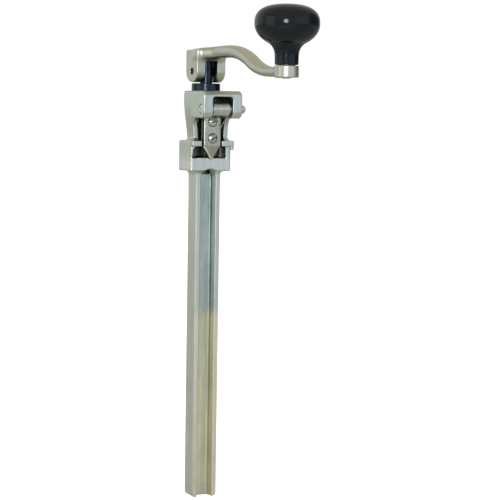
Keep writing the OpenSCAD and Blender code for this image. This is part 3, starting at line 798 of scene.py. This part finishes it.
def crank(x, y, z):
    w, q, h = crank_frame(x, y, z)
    body = crank_hull(x, y, z)
    gap = slab(box2(w, h, -GAP_W, GAP_W, -60, 12.6, (0, 0, 2, 2)), q, -40, 10.6, 1.5)
    body = cut(body, gap, 0.8)
    # the bores for the clevis pin and the knob's stud
    bore_r = 3.25
    body = cut(body, length(q, h) - bore_r, 0.35)
    stud = np.maximum(length(w, q - CRANK_R) - bore_r, abs(h - BOSS_H) - 20)
    return np.maximum(body, -stud)


def build_crank():
    wide, past = CLEVIS_W + 1, 12.4
    xs, ys, _ = zip(*(from_crank(w, q, 0) for w in (-wide, wide)
                      for q in (-past, CRANK_R + past)))
    grid = (lines(min(xs), 0.45, max(xs)), lines(min(ys), 0.45, max(ys)),
            lines(413.2, 0.42, 451.5))
    ob = field_piece("crank", crank, grid, crank_hull)
    place(ob, "crank", "nickel_crank", "crank_arm")


# --------------------------------------------------------- knife and holder


def drilled(body, x, f, z):
    """The body with both screw holes through it."""
    for hole_z, _ in SCREWS:
        hole = np.maximum(length(x, z - hole_z) - SCREW_HOLE, between(f, 8, 30))
        body = np.maximum(body, -hole)
    return body


def holder(x, y, z):
    """The block behind the knife, the web over it and the barrel on the pin,
    with room for the spring at the barrel's right end."""
    f = ARBOR_Y - y
    arm = box2(f, z, 9.7, KNIFE_BACK, 354, 391, (0.6, 0.6, 1, 1))
    arm = slab(arm, x, -9.35, 9.35, 0.6)
    web = slab(box2(f, z, 9.9, HINGE_F, 381.5, 391, (1,) * 4), x, -9, 9.2, 0.8)
    body = union(arm, web, 2)
    pin_r = hinge_radius(y, z)
    barrel_end = 8.2
    body = cut(body, np.maximum(pin_r - 7.1, barrel_end - x), 0.4)
    body = union(body, slab(pin_r - 6.5, x, -9, barrel_end, 0.5), 1.5)
    body = np.maximum(body, HINGE_BORE + 0.01 - pin_r)
    return drilled(body, x, f, z)


def knife_hull(x, y, z):
    """The ground plate before its holes."""
    f = ARBOR_Y - y
    side = abs(x)
    edge = -beyond(side, z, 0, POINT_LOW, KNIFE_HALF, POINT_TOP)
    outline = common(side - KNIFE_HALF, z - 380, 0.8)
    outline = common(outline, edge, 0.3)
    body = common(outline, between(f, KNIFE_BACK, KNIFE_FRONT), 0.25)
    # rounded long edges at the front of the plate
    body = common(body, (side - KNIFE_HALF + f - KNIFE_FRONT) * 0.7071 + 0.5, 1.0)
    # the point is ground a little lower, and its two cutting edges are bevelled
    ground = POINT_TOP + 0.6
    face = f - (KNIFE_FRONT - 0.1) + (ground - z) * 0.05
    body = common(body, np.where(z < ground, face, -5), 0.1)
    bevel = (edge + 1.6 + (f - KNIFE_FRONT) * 0.667) * 0.832
    body = common(body, np.where(z < POINT_TOP + 2.4, bevel, -5), 0.1)
    # the back of the tip clears the sill
    relief = np.maximum(f - 15, z - 340.7)
    return cut(body, relief, 0.1)


def knife(x, y, z):
    f = ARBOR_Y - y
    body = knife_hull(x, y, z)
    for hole_z, _ in SCREWS:
        seat = np.maximum(length(x, z - hole_z) - 5, SEAT_F - f)
        body = cut(body, seat, 0.15)
    return drilled(body, x, f, z)


def screw_at(z0, angle):
    """A slotted screw with a low domed head, and the same without its slot."""
    c, s = math.cos(angle), math.sin(angle)

    def hull(x, y, z):
        f = ARBOR_Y - y
        r = length(x, z - z0)
        dome = length(r, f - 13.6) - 7
        head = common(np.maximum(r - 4.5, SEAT_F + 0.02 - f), dome, 0.35)
        return np.minimum(head, np.maximum(r - 2.1, between(f, 9.6, 19.1)))

    def field(x, y, z):
        slot_side = -s * x + c * (z - z0)
        slot = np.maximum(abs(slot_side) - 0.75, KNIFE_FRONT - ARBOR_Y + y)
        return cut(hull(x, y, z), slot, 0.12)

    return field, hull


def joined(name, objects):
    """One object from several, keeping their attributes and normals."""
    bpy.ops.object.select_all(action="DESELECT")
    for ob in objects:
        ob.select_set(True)
    bpy.context.view_layer.objects.active = objects[0]
    bpy.ops.object.join()
    objects[0].name = name
    return objects[0]


def build_knife():
    grid = (lines(-10, 0.4, 10), lines(-44, 0.4, -9.8), lines(353, 0.4, 395.5))
    ob = field_piece("holder_block", holder, grid)
    place(ob, "holder", "nickel_casting", "knife_holder")
    grid = (lines(-9.8, 0.22, 9.8), lines(-20.2, 0.22, -13.8),
            lines(336.8, 0.25, 380.6))
    ob = field_piece("blade", knife, grid, knife_hull, 0.8)
    place(ob, "holder", "knife_steel", "knife")
    screws = []
    for z0, angle in SCREWS:
        screw, blank = screw_at(z0, math.radians(angle))
        grid = (lines(-4.9, 0.16, 4.9), lines(-22, 0.16, -10.2),
                lines(z0 - 4.9, 0.16, z0 + 4.9))
        screws.append(field_piece("screw", screw, grid, blank, 1.2))
    place(joined("blade_screws", screws), "holder", "bright_steel", "knife_screws")


def hinge_pin(x, y, z):
    """The slotted head, the plain rod and the thinner end that takes the nut."""
    r = hinge_radius(y, z)
    head = slab(r - 4.3, x, HEAD_SEAT - 2, HEAD_SEAT, 0.35)
    rod = np.maximum(r - 3, between(x, -18.5, NUT_SEAT))
    tail = np.maximum(r - THREAD_R, between(x, 20, PIN_END))
    slot = np.maximum(abs(z - HINGE_Z) - 0.5, x - (HEAD_SEAT - 1.2))
    return cut(np.minimum(np.minimum(head, rod), tail), slot, 0.1)


def dome_nut(x, y, z):
    r = hinge_radius(y, z)
    dome = length(r, x - 21.7) - 5
    body = common(np.maximum(r - 4.1, NUT_SEAT - x), dome, 0.5)
    bore = np.maximum(r - THREAD_R, x - PIN_END)
    return np.maximum(body, -bore)


def build_hinge():
    hinge_y = ARBOR_Y - HINGE_F
    ys = lines(hinge_y - 5, 0.18, hinge_y + 5)
    zs = lines(HINGE_Z - 5, 0.18, HINGE_Z + 5)
    xs = lines(-20.6, 0.18, -17.2, 1.4, 18.6, 0.4, 25)
    ob = field_piece("hinge_pin", hinge_pin, (xs, ys, zs))
    place(ob, "frame", "bright_steel", "holder_pin")
    ob = field_piece("hinge_nut", dome_nut, (lines(20.1, 0.18, 27.4), ys, zs))
    place(ob, "frame", "bright_steel", "holder_pin_nut")
    ring = ring_outline(3.1, 5.6, -10.55, -9.05, [0.1, 0.25, 0.25, 0.1])
    ob = lathe("hinge_washer", ring, (1, 0, 0), (0, hinge_y, HINGE_Z), 64)
    place(ob, "frame", "bright_steel", "holder_washer")


def tube(name, path, r):
    """A round wire along a path, with closed ends."""
    sides = 14
    p = np.array(path, float)
    t = np.gradient(p, axis=0)
    t /= np.linalg.norm(t, axis=1)[:, None]
    normal = np.cross(t[0], [1.0, 0, 0])
    normal /= np.linalg.norm(normal)
    points, faces = [], []
    for i in range(len(p)):
        normal = normal - t[i] * (normal @ t[i])
        normal /= np.linalg.norm(normal)
        other = np.cross(t[i], normal)
        for k in range(sides):
            a = 2 * math.pi * k / sides
            points.append(p[i] + r * (math.cos(a) * normal + math.sin(a) * other))
    for i in range(len(p) - 1):
        for k in range(sides):
            m = (k + 1) % sides
            faces.append((i * sides + k, i * sides + m,
                          (i + 1) * sides + m, (i + 1) * sides + k))
    faces.append(tuple(range(sides - 1, -1, -1)))
    last = (len(p) - 1) * sides
    faces.append(tuple(range(last, last + sides)))
    ob = make_mesh(name, points, faces)
    fix_normals(ob)
    return ob


def smooth_path(points):
    """Catmull-Rom curve through the points."""
    p = np.array([points[0], *points, points[-1]], float)
    per, out = 4, []
    for i in range(1, len(p) - 2):
        for k in range(per):
            t = k / per
            a, b, c, d = p[i - 1], p[i], p[i + 1], p[i + 2]
            out.append(0.5 * (2 * b + (c - a) * t + (2 * a - 5 * b + 4 * c - d) * t * t
                              + (3 * b - a - 3 * c + d) * t ** 3))
    out.append(p[-2])
    return out


def build_spring():
    """A coil on the pin, with one leg on the slot's back and one on the knife.
    The path is set out from the pin: across, back and up."""
    coil_r, wire_r, pitch, sweep, steps = 4.7, 0.45, 0.95, 508, 60
    off = wire_r + 0.1
    x0 = SLOT_HALF - off
    x1 = x0 - pitch * sweep / 360
    slot_y = HINGE_F - SLOT_BACK - off
    knife_y = HINGE_F - KNIFE_FRONT - off
    coil = []
    for i in range(steps + 1):
        a = math.radians(90 + sweep * i / steps)
        x = x0 + (x1 - x0) * i / steps
        coil.append((x, coil_r * math.cos(a), coil_r * math.sin(a)))
    start = [(x0, slot_y, 8.6), (x0, 12, 6.9), (x0, 3, 4.9)]
    end = [(x1, 3, -7.4), (x1, knife_y - 2.2, -15.3), (x1, knife_y, -17.2),
           (x1 - 0.9, knife_y, -19.2)]
    path = smooth_path(start + coil + end)
    path = [(x, y + ARBOR_Y - HINGE_F, z + HINGE_Z) for x, y, z in path]
    ob = tube("return_spring", path, wire_r)
    ob.data.materials.append(MATERIALS["spring_wire"])
    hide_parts("holder_spring")
    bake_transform(ob)


# ------------------------------------------------- arbor, collar and pins


def arbor(x, y, z):
    """The round shaft, its top rounded behind, and the square for the gear."""
    _, q, h = crank_frame(x, y, z)
    top = np.where(q < 0, length(q, above(h)), h) - 12.4
    rod = common(length(x, y - ARBOR_Y) - 6, top, 0.5)
    rod = np.maximum(rod, 350 - z)
    square = np.maximum(rect(x, y - ARBOR_Y, 3.5, 3.5, 0.3), between(z, 341.8, 351))
    body = np.minimum(rod, square)
    return cut(body, length(q, h) - 3.22, 0.3)


def build_arbor():
    r = 6.5
    grid = (lines(-r, 0.3, r), lines(ARBOR_Y - r, 0.3, ARBOR_Y + r),
            lines(341, 0.4, 352, 4.5, 411, 0.3, 438))
    ob = field_piece("arbor_shaft", arbor, grid)
    place(ob, "arbor", "black_oxide", "arbor")
    ring = ring_outline(6.02, 14.2, HEAD_TOP + 0.04, HEAD_TOP + 7.4,
                        [0.2, 0.4, 0.8, 0.3])
    ob = lathe("thrust_ring", ring, (0, 0, 1), (0, ARBOR_Y, 0))
    place(ob, "arbor", "black_oxide", "thrust_collar")


def build_clevis_pin():
    side = from_crank(1, 0, 0)
    axis = (side[0], side[1] - ARBOR_Y, 0)
    r, half = 3.17, 15.7
    outline = rounded([(0, -half), (r, -half), (r, half), (0, half)], [0.4, 0.4])
    ob = lathe("clevis_pivot", outline, axis, (0, ARBOR_Y, CLEVIS_Z), 64)
    place(ob, "crank", "black_oxide", "clevis_pin")


# ------------------------------------------------------------------ the knob

# Its size, its neck, and its bulge: the height of its widest part, how far the
# lower half ellipse reaches below that, and how full the upper one is
KNOB_D, KNOB_H, NECK_D = 60.8, 56.0, 22.6
WIDE_Z, LOW, FULLNESS = 37.7, 21.5, 0.78
BORE_R, BORE_TOP = 5.5, 40.0
BOSS_LOW = CLEVIS_Z + BOSS_H - BOSS_T / 2
BOSS_TOP = CLEVIS_Z + BOSS_H + BOSS_T / 2
KNOB_BASE = BOSS_TOP + 0.7


def knob_outline():
    """Inner bore, neck, hollow curve and a bulge of two half ellipses."""
    neck_r = NECK_D / 2
    join_r = neck_r + 6.8
    share = math.sqrt(1 - (2 * join_r / KNOB_D) ** 2)
    slope = 4 * LOW * join_r / (KNOB_D * KNOB_D * share)
    turn = math.pi / 2 - math.atan(slope)
    hollow_r = (join_r - neck_r) / (1 - math.cos(turn))
    hollow_z = WIDE_Z - LOW * share - hollow_r * math.sin(turn)
    join_t = math.acos(2 * join_r / KNOB_D)
    joint = (BORE_R, 12)
    start = rounded([joint, (BORE_R, 0.0), (neck_r - 0.3, 0.0), (neck_r, hollow_z)],
                    [0.3, 0.8])
    hollow = [(neck_r + hollow_r * (1 - math.cos(a)), hollow_z + hollow_r * math.sin(a))
              for a in np.linspace(0, turn, 24)[1:-1]]
    lower = [(KNOB_D / 2 * math.cos(t), WIDE_Z + LOW * math.sin(t))
             for t in np.linspace(-join_t, 0, 40)]
    upper = [(KNOB_D / 2 * math.cos(t) ** FULLNESS,
              WIDE_Z + (KNOB_H - WIDE_Z) * math.sin(t) ** FULLNESS)
             for t in np.linspace(0, math.pi / 2, 60)[1:-1]]
    bore = [(0, BORE_TOP), (BORE_R, BORE_TOP), joint]
    return [*start, *hollow, *lower, *upper, (0, KNOB_H)], bore


def build_knob():
    x, y, _ = from_crank(0, CRANK_R, 0)
    up, base = (0, 0, 1), (x, y, KNOB_BASE)
    outer, bore = knob_outline()
    ob = joined("grip_knob", [lathe("grip", outer, up, base, 160),
                              lathe("bore", bore, up, base, 160)])
    fix_normals(ob, weld=True)
    place(ob, "knob", "black_phenolic", "knob")
    ring = ring_outline(4.15, 8.6, BOSS_TOP, BOSS_TOP + 0.6, [0.1, 0.2, 0.2, 0.1])
    place(lathe("grip_washer", ring, up, (x, y, 0)),
          "crank", "bright_steel", "knob_washer")
    # the stud: its riveted end, its thin and thick parts, and the ring's groove
    rivet, end = BOSS_LOW - 1.1, KNOB_BASE + 39
    groove = end - 5
    stud = rounded([(0, rivet), (3.4, rivet), (4.6, BOSS_LOW), (3.2, BOSS_LOW),
                    (3.2, BOSS_TOP), (4, BOSS_TOP), (4, groove), (3.1, groove),
                    (3.1, groove + 1.2), (4, groove + 1.2), (4, end), (0, end)],
                   [0.5, 0.15, *[0.1] * 7, 0.4])
    place(lathe("grip_stud", stud, up, (x, y, 0), 64),
          "crank", "bright_steel", "knob_stud")


build_casting()
build_crank()
build_knife()
build_hinge()
build_spring()
build_arbor()
build_clevis_pin()
build_knob()


# ------------------------------------------------------- floor, light, camera


WHITE = (1, 1, 1, 1)


def build_floor():
    """A wide pale floor with a slightly raised rim, far out of view."""
    points, faces = [(0, 0, 0)], []
    sides, rings = 48, ((800, 0), (2500, 0), (6000, 0), (6200, 40))
    for r, z in rings:
        for k in range(sides):
            a = 2 * math.pi * k / sides
            points.append((r * math.cos(a), r * math.sin(a), z))
    for k in range(sides):
        m = (k + 1) % sides
        faces.append((0, 1 + k, 1 + m))
        for i in range(len(rings) - 1):
            a, b = 1 + i * sides, 1 + (i + 1) * sides
            faces.append((a + k, b + k, b + m, a + m))
    floor = make_mesh("studio_floor", points, faces)
    mat, tree, coords, shader = node_tree("studio_paper")
    colour = mix(tree, noise(tree, coords, 4, 3), (0.9, 0.9, 0.9), (0.94, 0.94, 0.94))
    seen = add(tree, "ShaderNodeLightPath").outputs["Is Camera Ray"]
    colour = mix(tree, seen, (0.69, 0.7, 0.67), colour)
    glow = math_node(tree, "MULTIPLY", seen, 0.8)
    set_inputs(tree, shader, {"Base Color": colour, "Roughness": 0.9,
                              "Emission Color": WHITE, "Emission Strength": glow})
    floor.data.materials.append(mat)
    floor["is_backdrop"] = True


def area_light(name, spot, target, size, power, colour):
    data = bpy.data.lights.new(name, "AREA")
    data.shape = "RECTANGLE"
    data.size, data.size_y = size
    data.energy = power
    data.color = colour
    ob = bpy.data.objects.new(name, data)
    ob.location = spot
    aim = Vector(target) - Vector(spot)
    ob.rotation_euler = aim.to_track_quat("-Z", "Y").to_euler()
    bpy.context.scene.collection.objects.link(ob)


def lobe(tree, coords, direction, low, high):
    """From 0 to 1 where the view direction nears a fixed direction."""
    inputs = {0: coords, 1: Vector(direction).normalized()}
    dot = add(tree, "ShaderNodeVectorMath", inputs, operation="DOT_PRODUCT")
    return ramp(tree, dot.outputs["Value"], low, high, 0, 1, "SMOOTHSTEP")


def build_light():
    """A white room: what lights the object is a soft grey studio, with a cool
    side, a warm ceiling and a darker floor side."""
    world = bpy.data.worlds.new("studio")
    bpy.context.scene.world = world
    world.use_nodes = True
    tree = world.node_tree
    coords = add(tree, "ShaderNodeTexCoord").outputs["Generated"]
    colour = (0.4, 0.39, 0.35)
    # each part of the room: its direction, where it fades in, and its colour
    for direction, low, high, tint in (
        ((0, 0, 1), -0.5, 0.1, (0.56, 0.6, 0.58)),
        ((0, 0, 1), 0.25, 0.8, (0.64, 0.6, 0.48)),
        ((0.5, -0.86, 0.0), 0.75, 0.98, (0.95, 1.07, 1.2)),
        ((-0.5, 0.86, 0.0), 0.75, 0.99, (0.95, 1.0, 0.93)),
        ((0.98, -0.05, 0.1), 0.78, 0.96, (0.08, 0.08, 0.08)),
    ):
        colour = mix(tree, lobe(tree, coords, direction, low, high), colour, tint)
    back = tree.nodes["Background"]
    set_inputs(tree, back, {"Color": colour})
    white = add(tree, "ShaderNodeBackground", {"Color": WHITE, "Strength": 1.05})
    seen = add(tree, "ShaderNodeLightPath").outputs["Is Camera Ray"]
    shaders = {"Fac": seen, 1: back.outputs[0], 2: white.outputs[0]}
    pick = add(tree, "ShaderNodeMixShader", shaders)
    set_inputs(tree, tree.nodes["World Output"], {"Surface": pick.outputs[0]})
    middle = (0, 0, 0.38)
    area_light("key", (-0.8, -1.55, 0.62), middle, (0.35, 0.35), 9, (0.9, 0.96, 1))
    area_light("side", (-1.5, -0.2, 0.6), middle, (0.9, 1.2), 3, (1, 0.9, 0.75))


def build_camera():
    """Turned to the opener's left, a little above it, and slightly rolled."""
    az, el, roll = math.radians(25), math.radians(4.703), math.radians(0.911)
    flat = math.cos(el)
    forward = Vector((math.sin(az) * flat, math.cos(az) * flat, -math.sin(el)))
    right = Vector((math.cos(az), -math.sin(az), 0))
    up = right.cross(forward)
    r = math.cos(roll) * right + math.sin(roll) * up
    u = -math.sin(roll) * right + math.cos(roll) * up
    spot = (r * 50.554 + u * 246.896 - forward * 1716.1) * MM
    data = bpy.data.cameras.new("camera")
    data.sensor_width = 36
    data.lens = 122.4
    data.clip_end = 50
    camera = bpy.data.objects.new("camera", data)
    camera.matrix_world = Matrix((
        (r.x, u.x, -forward.x, spot.x),
        (r.y, u.y, -forward.y, spot.y),
        (r.z, u.z, -forward.z, spot.z),
        (0, 0, 0, 1),
    ))
    bpy.context.scene.collection.objects.link(camera)
    bpy.context.scene.camera = camera


build_floor()
build_light()
build_camera()
bpy.context.scene.view_settings.view_transform = "Standard"

boxes = {"cad": cad_box, "visual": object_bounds()}
boxes = {key: [[float(c) for c in corner] for corner in box]
         for key, box in boxes.items()}
